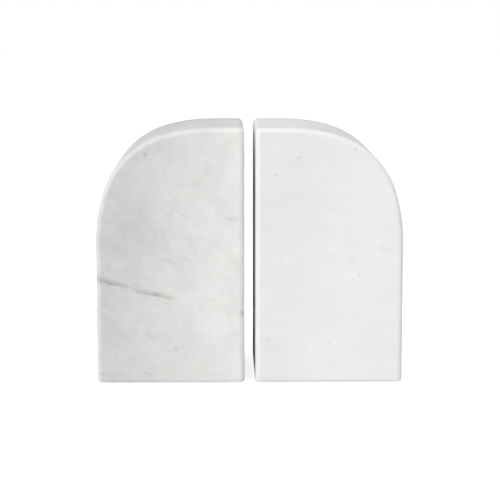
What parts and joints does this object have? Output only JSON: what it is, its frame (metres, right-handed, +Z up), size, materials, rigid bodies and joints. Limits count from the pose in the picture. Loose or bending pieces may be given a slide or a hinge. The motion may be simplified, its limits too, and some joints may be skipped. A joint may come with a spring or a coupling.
{
  "type": "book ends",
  "caption": "Solid marble book ends: upright stone blocks with a flat book face, one large rounded outer shoulder, softly rounded edges and thin non-slip pads underneath.",
  "frame": {"origin": "centre of the pair's footprint, on the surface that the pads stand on, midway between the two book faces", "axes": "+Z up; +X from the left block to the right block, square to the flat book faces; +Y to the back, so the pair is seen from -Y in the front view"},
  "size_m": [0.183, 0.0882, 0.1539],
  "materials": {
    "marble": "satin",
    "pad_rubber": "matte"
  },
  "bodies": {
    "left_bookend": {"left_block": "marble", "left_pad_front_inner": "pad_rubber", "left_pad_front_outer": "pad_rubber", "left_pad_back_inner": "pad_rubber", "left_pad_back_outer": "pad_rubber"},
    "right_bookend": {"right_block": "marble", "right_pad_front_inner": "pad_rubber", "right_pad_front_outer": "pad_rubber", "right_pad_back_inner": "pad_rubber", "right_pad_back_outer": "pad_rubber"}
  },
  "joints": [
    {"name": "right_bookend_slide", "type": "slide", "parent": "left_bookend", "child": "right_bookend", "axis": [1, 0, 0], "range_m": [-0.006, 0.3]}
  ]
}
